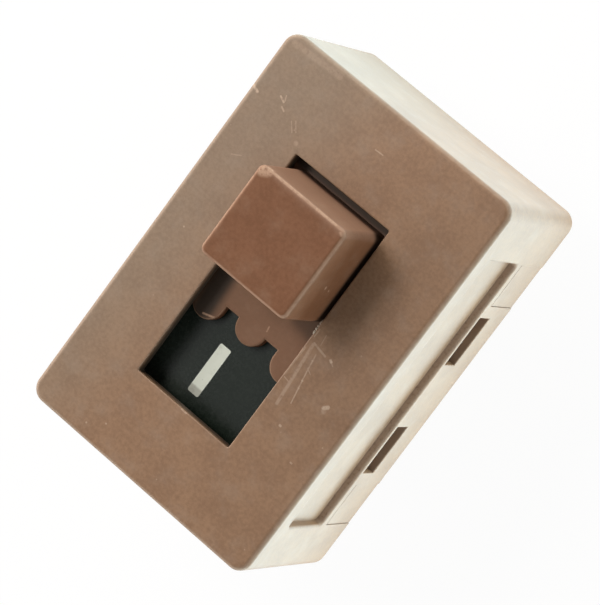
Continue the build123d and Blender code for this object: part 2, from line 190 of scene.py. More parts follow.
class Finish(Graph):
    """One material and the patterns that its shader is made of. Patterns are sized in millimetres."""

    def __init__(self, name: str) -> None:
        """Start a material with an empty tree.

        Args:
            name: Name of the material.
        """
        self.material = bpy.data.materials.new(name)
        self.material.use_nodes = True
        super().__init__(self.material.node_tree)
        self.tree.nodes.clear()
        self.coordinates = self.add("ShaderNodeTexCoord")
        inputs = {"Vector": self.coordinates.outputs["Object"], "Scale": (1 / MM, 1 / MM, 1 / MM)}
        self.place = self.add("ShaderNodeMapping", None, inputs).outputs[0]

    def stretched(self, scale: Point) -> Socket:
        """Place squeezed along some axes, for streaks.

        Args:
            scale: Factor on each axis.

        Returns:
            The vector socket.
        """
        return self.add("ShaderNodeMapping", None, {"Vector": self.place, "Scale": scale}).outputs[0]

    def noise(self, size: float, detail: float = 3.0, vector: Socket | None = None) -> Signal:
        """Soft noise.

        Args:
            size: Size of a blotch in millimetres.
            detail: Octaves.
            vector: Place to read it at.

        Returns:
            A signal about 0.5.
        """
        inputs = {"Vector": vector or self.place, "Scale": 1.0 / size, "Detail": detail,
                  "Roughness": NOISE_ROUGHNESS}
        return Signal(self, self.add("ShaderNodeTexNoise", None, inputs).outputs[0])

    def specks(self, dots: "Dots") -> Signal:
        """Mask of small scattered dots.

        Args:
            dots: Their spacing, radius and share.

        Returns:
            A mask that is 1 in the dots.
        """
        cells = self.add("ShaderNodeTexVoronoi", None, {"Vector": self.place, "Scale": 1.0 / dots.spacing})
        rim = dots.radius / dots.spacing
        near = Signal(self, cells.outputs["Distance"]).band(rim, rim / 2)
        pick = self.add("ShaderNodeSeparateColor", None, {0: cells.outputs["Color"]})
        return near * Signal(self, pick.outputs[0]).band(1.0 - dots.share, 1.0 - dots.share / 2)

    def upward(self) -> Signal:
        """How far the surface faces up, 1 where it is level."""
        parts = self.add("ShaderNodeSeparateXYZ", None, {0: self.coordinates.outputs["Normal"]})
        return Signal(self, parts.outputs[2])

    def rounded_edges(self) -> Signal:
        """Mask of the rounded edges round faces that look up, from the way the surface faces."""
        up = self.upward()
        return up.band(0.05, 0.6) * up.band(0.995, 0.8)

    def looks_up(self) -> Signal:
        """Mask of the faces that look up."""
        return self.upward().band(0.6, 0.95)

    def axis(self, number: int) -> Signal:
        """One coordinate of the place, in millimetres."""
        return Signal(self, self.add("ShaderNodeSeparateXYZ", None, {0: self.place}).outputs[number])

    def blend(self, share: Signal, low: Colour | Socket, high: Colour | Socket) -> Socket:
        """Mix two colours.

        Args:
            share: Share of the second.
            low: First colour.
            high: Second colour.

        Returns:
            The mixed colour.
        """
        ends = [colour if isinstance(colour, Socket) else (*colour, 1.0) for colour in (low, high)]
        node = self.add("ShaderNodeMix", {"data_type": "RGBA"}, {0: share, 6: ends[0], 7: ends[1]})
        return node.outputs[2]

    def away(self, start: Point) -> Socket:
        """Vector from a point to the place."""
        return self.add("ShaderNodeVectorMath", {"operation": "SUBTRACT"}, {0: self.place, 1: start}).outputs[0]

    def along(self, start: Point, end: Point) -> Signal:
        """How far the place is on the way from one point to another.

        Args:
            start: Point that gives 0.
            end: Point that gives 1.

        Returns:
            The share of the way.
        """
        run = Vector(end) - Vector(start)
        inputs = {0: self.away(start), 1: run / max(run.length_squared, 1e-6)}
        return Signal(self, self.add("ShaderNodeVectorMath", {"operation": "DOT_PRODUCT"}, inputs).outputs["Value"])

    def blemish(self, mark: "Blemish") -> Signal:
        """Mask of one scratch, speck, painted highlight or patch of painted shade."""
        run = tuple(Vector(mark.end) - Vector(mark.start))
        share = self.along(mark.start, mark.end).clamped()
        foot = self.add("ShaderNodeVectorMath", {"operation": "SCALE"}, {0: run, "Scale": share})
        ends = {0: self.away(mark.start), 1: foot.outputs[0]}
        gap = self.add("ShaderNodeVectorMath", {"operation": "DISTANCE"}, ends)
        return Signal(self, gap.outputs["Value"]).band(mark.width, mark.width * MARK_CORE_SHARE) * mark.strength

    def blemishes(self, marks: tuple["Blemish", ...]) -> Signal | None:
        """Mask of several of these marks."""
        mask = None
        for mark in marks:
            one = self.blemish(mark)
            mask = one if mask is None else mask.larger(one)
        return mask

    def surface(self, inputs: dict, height: Signal, depth: float) -> None:
        """Finish the material with a Principled shader.

        Args:
            inputs: Its sockets.
            height: Relief of the surface.
            depth: Depth of the relief in millimetres.
        """
        relief = {"Strength": BUMP_STRENGTH, "Distance": depth * MM, "Height": height}
        bump = self.add("ShaderNodeBump", None, relief)
        shader = self.add("ShaderNodeBsdfPrincipled", None, {**inputs, "Normal": bump.outputs[0]})
        self.add("ShaderNodeOutputMaterial", None, {"Surface": shader.outputs[0]})


@dataclass(frozen=True)
class Dots:
    """Scattered dots: the distance between their places, their radius and the share of the places that hold one."""

    spacing: float
    radius: float
    share: float


@dataclass(frozen=True)
class Blemish:
    """A scratch, speck, painted highlight or patch of painted shade on a moulding."""

    start: Point
    end: Point
    width: float
    strength: float


@dataclass(frozen=True)
class PaintedVeil:
    """A veil of painted light that thickens from one place towards another."""

    colour: Colour
    share: float
    start: Point
    end: Point


@dataclass(frozen=True)
class MouldedPlastic:
    """Mottled moulded plastic with dust, scratch marks and edge wear, and with painted shade, highlights and veils of
    light.
    """

    name: str
    deep: Colour
    light: Colour
    # Pale colour of wear, specks, scratches and painted highlights.
    wear_and_highlight: Colour
    film: Colour = (0.3, 0.22, 0.16)
    film_share: float = 0.3
    roughness: float = 0.45
    specular: float = 0.5
    edge_wear: float = 0.3
    grain: float = 0.02
    dust: float = 0.5
    # Paler film on upward faces below a height: partly settled dust, partly painted light.
    settled_dust_and_light: float = 0.0
    settled_below: float = 0.0
    # Colour of the painted shade.
    painted_shade_colour: Colour = (0.016, 0.014, 0.01)
    # A veil of painted light, if any.
    painted_veil: PaintedVeil | None = None
    marks: tuple[Blemish, ...] = ()
    # Lines along which shade is painted into the colour.
    painted_shade: tuple[Blemish, ...] = ()
    specks: Dots = Dots(1.9, 0.13, 0.35)
    cloud_size: float = 4.0
    fine_size: float = 0.4
    pore_size: float = 0.12
    film_size: float = 2.6
    wear_size: float = 1.1
    break_size: float = 0.35
    settled_fade: float = 0.5
    tones: Range = (0.34, 0.66)
    films: Range = (0.45, 0.75)
    wears: Range = (0.25, 0.6)
    breaks: Range = (0.2, 0.55)

    def make(self) -> bpy.types.Material:
        """Build the material."""
        finish = Finish(self.name)
        cloud = finish.noise(self.cloud_size, 4.0)
        fine = finish.noise(self.fine_size, 2.0)
        pores = finish.noise(self.pore_size, 1.0)
        tone = (cloud * 0.5 + fine * 0.5).band(*self.tones)
        colour = finish.blend(tone, self.deep, self.light)
        film = finish.noise(self.film_size, 5.0).band(*self.films) * self.film_share
        # Paler film on upward faces below a height: partly settled dust, partly painted light.
        if self.settled_dust_and_light:
            sunk = finish.axis(2).band(self.settled_below, self.settled_below - self.settled_fade)
            film = film + sunk * finish.looks_up() * self.settled_dust_and_light
        colour = finish.blend(film, colour, self.film)
        # Painted light: a pale veil that thickens from one place towards another.
        if self.painted_veil:
            veil_mask = finish.along(self.painted_veil.start, self.painted_veil.end).band(0.0, 1.0)
            veil_mask = veil_mask * (fine * 0.6 + 0.7) * self.painted_veil.share
            colour = finish.blend(veil_mask, colour, self.painted_veil.colour)
        # Painted shade: the colour darkens along the listed lines, where shade falls.
        painted_shade = finish.blemishes(self.painted_shade)
        if painted_shade:
            colour = finish.blend(painted_shade, colour, self.painted_shade_colour)
        pale = finish.specks(self.specks) * self.dust
        patchy = finish.noise(self.wear_size).band(*self.wears) * 0.45 + 0.55
        pale = pale.larger(finish.rounded_edges() * patchy * self.edge_wear)
        # Pale marks: scratches and specks, and painted highlights where the listed marks stand for light.
        pale_marks = finish.blemishes(self.marks)
        if pale_marks:
            pale = pale.larger(pale_marks * finish.noise(self.break_size).band(*self.breaks))
        colour = finish.blend(pale, colour, self.wear_and_highlight)
        roughness = self.roughness - 0.06 + fine * 0.14 + pale * 0.2
        inputs = {"Base Color": colour, "Roughness": roughness.clamped(), "Specular IOR Level": self.specular}
        finish.surface(inputs, fine * 0.6 + pores * 0.4, self.grain)
        return finish.material


@dataclass(frozen=True)
class PaintFill:
    """Paint that fills a moulded mark, brushed on, a little soiled, and greyer towards one end."""

    name: str
    clean: Colour
    soiled: Colour
    greyer_below: float
    roughness: float = 0.5
    stroke_size: float = 0.5
    strokes: Point = (2.2, 0.5, 1.0)
    soil_size: float = 1.1
    soils: Range = (0.52, 0.8)
    soil_share: float = 0.5
    specks: Dots = Dots(0.8, 0.08, 0.3)
    end_fade: float = 0.3
    end_share: float = 0.75
    relief: float = 0.012

    def make(self) -> bpy.types.Material:
        """Build the material."""
        finish = Finish(self.name)
        strokes = finish.noise(self.stroke_size, 3.0, finish.stretched(self.strokes))
        # The bar turns greyer towards its lower end, below a given place along Y.
        end = finish.axis(1).band(self.greyer_below, self.greyer_below - self.end_fade) * self.end_share
        patches = finish.noise(self.soil_size, 4.0).band(*self.soils) * self.soil_share
        soil = patches + finish.specks(self.specks) * self.soil_share + end
        colour = finish.blend(soil.clamped(), self.clean, self.soiled)
        inputs = {"Base Color": colour, "Roughness": (self.roughness + strokes * 0.15).clamped()}
        finish.surface(inputs, strokes, self.relief)
        return finish.material


@dataclass(frozen=True)
class StampedMetal:
    """Rolled and stamped metal with drawing lines and some tarnish."""

    name: str
    bright: Colour
    tarnish: Colour
    roughness: float
    tarnish_share: float
    lines: Point = (3.0, 3.0, 0.25)
    line_size: float = 0.22
    patch_size: float = 1.6
    patches: Range = (0.45, 0.75)
    specks: Dots = Dots(0.7, 0.07, 0.3)
    speck_share: float = 0.4
    relief: float = 0.006

    def make(self) -> bpy.types.Material:
        """Build the material."""
        finish = Finish(self.name)
        drawn = finish.noise(self.line_size, 3.0, finish.stretched(self.lines))
        patches = finish.noise(self.patch_size, 4.0).band(*self.patches)
        spots = finish.specks(self.specks)
        stain = (patches * self.tarnish_share + spots * self.speck_share).clamped()
        colour = finish.blend(stain, self.bright, self.tarnish)
        roughness = self.roughness - 0.08 + drawn * 0.16 + stain * 0.18
        inputs = {"Base Color": colour, "Metallic": 1.0, "Roughness": roughness.clamped()}
        finish.surface(inputs, drawn - stain * 0.2, self.relief)
        return finish.material


class ShapeTree(Graph):
    """A Geometry Nodes tree with named inputs, and the plain mesh that it gives."""

    def __init__(self, name: str) -> None:
        """Start a tree with a geometry input.

        Args:
            name: Name of the tree.
        """
        super().__init__(bpy.data.node_groups.new(name, "GeometryNodeTree"))
        self.values: dict[str, object] = {}
        self.sizes = self.add("NodeGroupInput")
        for way in ("INPUT", "OUTPUT"):
            self.tree.interface.new_socket("Geometry", in_out=way, socket_type="NodeSocketGeometry")

    def size(self, name: str, value: float | int | Point) -> Socket:
        """Add a named input.

        Args:
            name: What the input sets.
            value: Its value: a number, a count or a place.

        Returns:
            The socket inside the tree.
        """
        kinds = {int: "NodeSocketInt", float: "NodeSocketFloat", tuple: "NodeSocketVector"}
        item = self.tree.interface.new_socket(name, in_out="INPUT", socket_type=kinds[type(value)])
        self.values[item.identifier] = value
        return next(socket for socket in self.sizes.outputs if socket.identifier == item.identifier)

    def plain_mesh(self, name: str, shape: Socket, material: bpy.types.Material,
                   source: bpy.types.Mesh | None = None) -> bpy.types.Object:
        """Close the tree, run it and keep its result as a plain mesh.

        Args:
            name: Name of the piece.
            shape: Geometry that the tree has made.
            material: Material of the piece.
            source: Mesh that goes into the tree.

        Returns:
            The object, without its modifier.
        """
        real = self.add("GeometryNodeRealizeInstances", None, {0: shape})
        smooth = self.add("GeometryNodeSetShadeSmooth", None, {0: real.outputs[0]})
        dressed = self.add("GeometryNodeSetMaterial", None, {0: smooth.outputs[0], "Material": material})
        self.add("NodeGroupOutput", None, {0: dressed.outputs[0]})
        item = bpy.data.objects.new(name, source or bpy.data.meshes.new(name))
        bpy.context.scene.collection.objects.link(item)
        step = item.modifiers.new(self.tree.name, "NODES")
        step.node_group = self.tree
        for identifier, value in self.values.items():
            step[identifier] = value
        return settle(item)


def settle(item: bpy.types.Object) -> bpy.types.Object:
    """Turn an object's modifiers into its plain mesh.

    Args:
        item: Object with live modifiers.

    Returns:
        The same object with its result as its mesh.
    """
    bpy.context.view_layer.update()
    graph = bpy.context.evaluated_depsgraph_get()
    result = bpy.data.meshes.new_from_object(item.evaluated_get(graph), preserve_all_data_layers=True, depsgraph=graph)
    item.modifiers.clear()
    item.data = result
    return item


def smooth_copy(node: str, name: str, material: bpy.types.Material) -> bpy.types.Object:
    """Copy a solid's mesh, merge it and smooth its rounded edges.

    Args:
        node: Name of the solid.
        name: Name of the copy.
        material: Its material.

    Returns:
        The copy.
    """
    shape = bmesh.new()
    shape.from_mesh(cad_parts[node].data)
    bmesh.ops.remove_doubles(shape, verts=shape.verts, dist=MERGE_DISTANCE)
    mesh = bpy.data.meshes.new(name)
    shape.to_mesh(mesh)
    shape.free()
    if "custom_normal" in mesh.attributes:
        mesh.attributes.remove(mesh.attributes["custom_normal"])
    mesh.materials.clear()
    mesh.materials.append(material)
    mesh.polygons.foreach_set("use_smooth", [True] * len(mesh.polygons))
    mesh.set_sharp_from_angle(angle=SHARP_ANGLE)
    item = bpy.data.objects.new(name, mesh)
    bpy.context.scene.collection.objects.link(item)
    weigh = item.modifiers.new("weigh", "WEIGHTED_NORMAL")
    weigh.keep_sharp = True
    return settle(item)


def dress(node: str, material: bpy.types.Material) -> None:
    """Give a solid that stays as it is its material."""
    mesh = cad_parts[node].data
    mesh.materials.clear()
    mesh.materials.append(material)
    LOG.info("solid %s keeps its shape", node)


def seat(item: bpy.types.Object, body: str, slot: str, *nodes: str) -> None:
    """Hand a finished piece to the frame.

    Args:
        item: The piece.
        body: Body that it rides on.
        slot: Name of a material slot; it is not used.
        nodes: Solids that it stands for.
    """
    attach(item, body)
    if nodes:
        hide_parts(*nodes)
    LOG.info("piece %s: %d faces, rides on %s", item.name, len(item.data.polygons), body)


@dataclass
class Housing:
    """Brown cap with its face, clip recesses, windows and notches, and the base that closes it."""

    finish: MouldedPlastic

    def build(self) -> None:
        """Make the cap and the base."""
        material = self.finish.make()
        seat(smooth_copy("housing", "housing_cap", material), BODY, "housing_brown", "housing")
        seat(smooth_copy("base", "housing_base", material), BODY, "housing_brown", "base")


@dataclass
class MouldFlash:
    """Small pale burrs that the mould left at the edge of the slot and in a snap window."""

    finish: MouldedPlastic
    places: tuple[Point, ...] = (
        (5.62, 2.25, -0.35), (5.6, 2.0, -0.2), (5.62, 1.75, -0.45), (5.6, 1.5, -0.25), (5.64, 1.2, -0.15),
        (5.64, 0.8, -0.1), (14.28, 7.66, -13.12), (14.28, 7.45, -13.06), (14.28, 7.88, -13.05),
    )
    radius: float = 0.16
    fineness: int = 3
    smallest: Point = (0.45, 0.7, 0.5)
    largest: Point = (0.8, 1.5, 1.1)
    lean: float = 0.5
    seed: int = 7

    def build(self) -> None:
        """Scatter the burrs over their places."""
        mesh = bpy.data.meshes.new("burr_places")
        mesh.from_pydata([tuple(part * MM for part in place) for place in self.places], [], [])
        scatter = ShapeTree("mould_flash")
        seed = scatter.size("Seed", self.seed)
        ball = scatter.add("GeometryNodeMeshIcoSphere", None, {
            "Radius": scatter.size("Radius", self.radius * MM),
            "Subdivisions": scatter.size("Fineness", self.fineness),
        })
        vector = {"data_type": "FLOAT_VECTOR"}
        smallest = scatter.size("Smallest", self.smallest)
        sizes = {0: smallest, 1: scatter.size("Largest", self.largest), "Seed": seed}
        lean = (self.lean, self.lean, self.lean)
        back = scatter.size("Lean back", tuple(-part for part in lean))
        turns = {0: back, 1: scatter.size("Lean", lean), "Seed": seed}
        burrs = scatter.add("GeometryNodeInstanceOnPoints", None, {
            "Points": scatter.sizes.outputs[0],
            "Instance": ball.outputs[0],
            "Scale": scatter.add("FunctionNodeRandomValue", vector, sizes).outputs[0],
            "Rotation": scatter.add("FunctionNodeRandomValue", vector, turns).outputs[0],
        })
        seat(scatter.plain_mesh("mould_flash", burrs.outputs[0], self.finish.make(), mesh), BODY, "housing_brown")


@dataclass
class Slider:
    """The knob with its carrier plate, and the crossbar that it drives."""

    knob: MouldedPlastic
    crossbar: MouldedPlastic

    def build(self) -> None:
        """Make the knob's moulding and dress the crossbar."""
        seat(smooth_copy("slide_knob", "knob_moulding", self.knob.make()), SLIDER, "knob_brown", "slide_knob")
        dress("contact_carrier", self.crossbar.make())


@dataclass
class MarkWindow:
    """Black plate under the slot and its white bar."""

    plate: MouldedPlastic
    bar: PaintFill

    def build(self) -> None:
        """Dress the plate and the bar."""
        dress("indicator_plate", self.plate.make())
        dress("indicator_mark", self.bar.make())


@dataclass
class ContactSet:
    """Terminals, bridges, rivets and springs."""

    blade: StampedMetal
    strip: StampedMetal
    silver: StampedMetal
    steel: StampedMetal
    column: float = 5.518
    travel: float = 13.8
    rivet_diameter: float = 3.2
    shank_diameter: float = 1.6
    fixed_head: float = 0.4
    moving_head: float = 0.5
    edge_radius: float = 0.15
    edge_steps: int = 4
    rivet_steps: int = 40
    spring_diameter: float = 4.0
    wire: float = 0.45
    turns: float = 5.0
    turn_points: int = 40
    wire_points: int = 12

    def build(self) -> None:
        """Make and dress every metal piece."""
        blade = self.blade.make()
        strip = self.strip.make()
        steel = self.steel.make()
        silver = self.silver.make()
        for side in Side:
            name = side.name.lower()
            for row in ("lower", "middle", "upper"):
                dress(f"terminal_{name}_{row}", blade)
            dress(f"contact_bridge_{name}", strip)
            dress(f"detent_spring_{name}", steel)
        self._rivets("fixed_rivets", "fixed_contacts", BODY, silver, 3, 1)
        self._rivets("moving_rivets", "moving_contacts", SLIDER, silver, 2, -1)
        self._springs(steel)

    def _rivets(self, name: str, node: str, body: str, material: bpy.types.Material, rows: int, facing: int) -> None:
        """Repeat a turned rivet over two columns.

        Args:
            name: Name of the piece.
            node: Solid that it stands for.
            body: Body that it rides on.
            material: Its material.
            rows: Rivets in each column.
            facing: 1 where the heads look up, -1 where they look down.
        """
        low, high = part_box(node)
        grid = ShapeTree(name)
        columns = grid.add("GeometryNodeMeshGrid", None, {
            "Size X": grid.size("Column spacing", 2 * self.column * MM),
            "Size Y": grid.size("Row spread", self.travel * (rows - 1) * MM),
            "Vertices X": grid.size("Columns", 2),
            "Vertices Y": grid.size("Rows", rows),
        })
        centre = ((low.x + high.x) / 2, (low.y + high.y) / 2, low.z if facing > 0 else high.z)
        move = {0: columns.outputs[0], "Offset": grid.size("Centre", tuple(centre))}
        placed = grid.add("GeometryNodeSetPosition", None, move)
        copies = {0: placed.outputs[0], "Instance": grid.sizes.outputs[0]}
        rivets = grid.add("GeometryNodeInstanceOnPoints", None, copies)
        rivet = self._rivet((high.z - low.z) / MM, self.fixed_head if facing > 0 else self.moving_head, facing)
        seat(grid.plain_mesh(name, rivets.outputs[0], material, rivet), body, "contact_silver", node)

    def _rivet(self, height: float, head: float, facing: int) -> bpy.types.Mesh:
        """Turn one rivet.

        Args:
            height: Height over all.
            head: Height of the head.
            facing: 1 where the head looks up, -1 where it looks down.

        Returns:
            The mesh, with the shank's end at the origin.
        """
        shank = self.shank_diameter / 2
        rim = self.rivet_diameter / 2
        edge = self.edge_radius
        profile = [(0.0, 0.0), (shank, 0.0), (shank, height - head), (rim, height - head), (rim, height - edge)]
        for step in range(1, self.edge_steps + 1):
            angle = math.radians(90.0 * step / self.edge_steps)
            profile.append((rim - edge + edge * math.cos(angle), height - edge + edge * math.sin(angle)))
        profile.append((0.0, height))
        shape = bmesh.new()
        corners = [shape.verts.new((radius * MM, 0.0, facing * level * MM)) for radius, level in profile]
        edges = [shape.edges.new(pair) for pair in zip(corners, corners[1:])]
        turned = {"cent": (0, 0, 0), "axis": (0, 0, 1), "angle": math.tau, "steps": self.rivet_steps}
        bmesh.ops.spin(shape, geom=corners + edges, **turned)
        bmesh.ops.remove_doubles(shape, verts=shape.verts, dist=MERGE_DISTANCE)
        bmesh.ops.recalc_face_normals(shape, faces=shape.faces)
        mesh = bpy.data.meshes.new("rivet")
        shape.to_mesh(mesh)
        shape.free()
        return mesh

    def _springs(self, material: bpy.types.Material) -> None:
        """Wind the two coil springs that press the bridges down."""
        low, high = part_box("contact_spring_left")
        centre_y = (low.y + high.y) / 2
        wind = ShapeTree("contact_springs")
        radius = wind.size("Coil radius", (self.spring_diameter - self.wire) / 2 * MM)
        coil = wind.add("GeometryNodeCurveSpiral", None, {
            "Resolution": wind.size("Points a turn", self.turn_points),
            "Rotations": wind.size("Turns", self.turns),
            "Start Radius": radius,
            "End Radius": radius,
            "Height": wind.size("Height", high.z - low.z - self.wire * MM),
        })
        section = wind.add("GeometryNodeCurvePrimitiveCircle", None, {
            "Resolution": wind.size("Points round the wire", self.wire_points),
            "Radius": wind.size("Wire radius", self.wire / 2 * MM),
        })
        tube = {0: coil.outputs[0], 1: section.outputs[0], "Fill Caps": True}
        spring = wind.add("GeometryNodeCurveToMesh", None, tube)
        foot = low.z + self.wire / 2 * MM
        pair = wind.add("GeometryNodeMeshLine", {"mode": "END_POINTS"}, {
            "Count": wind.size("Springs", 2),
            "Start Location": wind.size("Left seat", (-self.column * MM, centre_y, foot)),
            "Offset": wind.size("Right seat", (self.column * MM, centre_y, foot)),
        })
        springs = wind.add("GeometryNodeInstanceOnPoints", None, {0: pair.outputs[0], "Instance": spring.outputs[0]})
        piece = wind.plain_mesh("contact_springs", springs.outputs[0], material)
        seat(piece, SLIDER, "spring_steel", "contact_spring_left", "contact_spring_right")


@dataclass(frozen=True)
class Softbox:
    """A soft rectangular lamp. Its place and sides are millimetres, its light is the brightness of its face."""

    name: str
    centre: Point
    aim: Point
    width: float
    height: float
    light: Colour

    def build(self) -> None:
        """Hang the lamp, which the camera doesn't see."""
        data = bpy.data.lights.new(self.name, "AREA")
        data.shape = "RECTANGLE"
        data.size = self.width * MM
        data.size_y = self.height * MM
        strongest = max(self.light)
        data.color = [part / strongest for part in self.light]
        data.energy = strongest * math.pi * data.size * data.size_y
        lamp = bpy.data.objects.new(self.name, data)
        lamp.visible_camera = False
        turn = (-Vector(self.aim)).to_track_quat("Z", "Y").to_matrix().to_4x4()
        lamp.matrix_world = Matrix.Translation(Vector(self.centre) * MM) @ turn
        bpy.context.scene.collection.objects.link(lamp)


@dataclass
class Studio:
    """Camera at the photograph's viewing angle, pale floor and soft lamps."""

    eye: Point = (106.12, 71.98, 324.85)
    right: Point = (0.7292, 0.5835, -0.3575)
    down: Point = (0.6165, -0.7869, -0.0270)
    ahead: Point = (-0.2971, -0.2006, -0.9335)
    focal_pixels: float = 3609.85
    long_side_pixels: float = 605.0
    sensor: float = 36.0
    near: float = 10.0
    far: float = 20000.0
    floor_size: float = 4000.0
    floor_colour: Colour = (0.86, 0.86, 0.85)
    floor_white_share: float = 0.95
    fill: float = 0.1
    lamps: tuple[Softbox, ...] = ()

    def build(self) -> None:
        """Set up the whole studio."""
        bpy.context.scene.view_settings.view_transform = "Standard"
        self._camera()
        self._floor()
        self._world()
        for lamp in self.lamps:
            lamp.build()

    def _camera(self) -> None:
        """Place the camera."""
        lens = bpy.data.cameras.new("camera")
        lens.sensor_width = self.sensor
        lens.lens = self.focal_pixels * self.sensor / self.long_side_pixels
        lens.clip_start = self.near * MM
        lens.clip_end = self.far * MM
        camera = bpy.data.objects.new("camera", lens)
        axes = Matrix((self.right, [-part for part in self.down], [-part for part in self.ahead])).transposed()
        camera.matrix_world = Matrix.Translation(Vector(self.eye) * MM) @ axes.to_4x4()
        bpy.context.scene.collection.objects.link(camera)
        bpy.context.scene.camera = camera

    @staticmethod
    def _seen(graph: Graph) -> Signal:
        """1 for the rays that show the background: from the camera, a reflection or glass."""
        path = graph.add("ShaderNodeLightPath")
        camera = Signal(graph, path.outputs["Is Camera Ray"])
        glossy = Signal(graph, path.outputs["Is Glossy Ray"])
        return camera.larger(glossy).larger(Signal(graph, path.outputs["Is Transmission Ray"]))

    def _floor(self) -> None:
        """Lay the pale floor that the tabs stand on."""
        half = self.floor_size / 2 * MM
        level = CAD_BOX[0].z
        mesh = bpy.data.meshes.new("floor")
        corners = [(-half, -half, level), (half, -half, level), (half, half, level), (-half, half, level)]
        mesh.from_pydata(corners, [], [(0, 1, 2, 3)])
        material = bpy.data.materials.new("floor_pale")
        material.use_nodes = True
        graph = Graph(material.node_tree)
        graph.tree.nodes.clear()
        matt = graph.add("ShaderNodeBsdfDiffuse", None, {"Color": (*self.floor_colour, 1.0)})
        white = graph.add("ShaderNodeEmission", None, {"Strength": 1.0})
        share = self._seen(graph) * self.floor_white_share
        both = graph.add("ShaderNodeMixShader", None, {0: share, 1: matt.outputs[0], 2: white.outputs[0]})
        graph.add("ShaderNodeOutputMaterial", None, {"Surface": both.outputs[0]})
        mesh.materials.append(material)
        floor = bpy.data.objects.new("floor", mesh)
        bpy.context.scene.collection.objects.link(floor)

    def _world(self) -> None:
        """Even light from all round, white where it is seen."""
        world = bpy.data.worlds.new("studio")
        world.use_nodes = True
        graph = Graph(world.node_tree)
        graph.tree.nodes.clear()
        level = self._seen(graph) * (1.0 - self.fill) + self.fill
        sky = graph.add("ShaderNodeBackground", None, {"Color": (1.0, 1.0, 1.0, 1.0), "Strength": level})
        graph.add("ShaderNodeOutputWorld", None, {"Surface": sky.outputs[0]})
        bpy.context.scene.world = world


LAMPS = (
    Softbox("key", (-230.3, 61.7, 381.6), (0.5119, -0.1372, -0.848), 150.0, 150.0, (14.9, 13.9, 13.4)),
    Softbox("window_back", (-319.6, 268.2, 168.6), (0.710, -0.596, -0.375), 400.0, 260.0, (4.5, 4.1, 3.8)),
    Softbox("window_left", (-393.9, -183.7, 116.5), (0.8754, 0.4082, -0.2588), 420.0, 130.0, (8.8, 8.2, 7.9)),
    Softbox("lamp_front", (182.5, -182.5, 368.6), (-0.406, 0.406, -0.819), 250.0, 250.0, (1.0, 1.0, 1.0)),
    Softbox("card_right", (250.0, 0.0, 66.0), (-1.0, 0.0, 0.0), 600.0, 68.0, (2.2, 2.3, 2.3)),
    Softbox("card_end", (0.0, 250.0, 16.0), (0.0, -1.0, 0.0), 600.0, 88.0, (2.3, 2.7, 2.75)),
    Softbox("card_front", (85.5, -234.9, 2.0), (-0.342, 0.940, 0.0), 500.0, 60.0, (3.3, 3.65, 3.85)),
    Softbox("table_right", (48.0, -20.0, -28.0), (0.0, 0.0, 1.0), 60.0, 160.0, (3.35, 4.35, 4.5)),
    Softbox("table_end", (-21.5, 56.0, -28.0), (0.0, 0.0, 1.0), 77.0, 60.0, (2.1, 2.75, 2.85)),
)
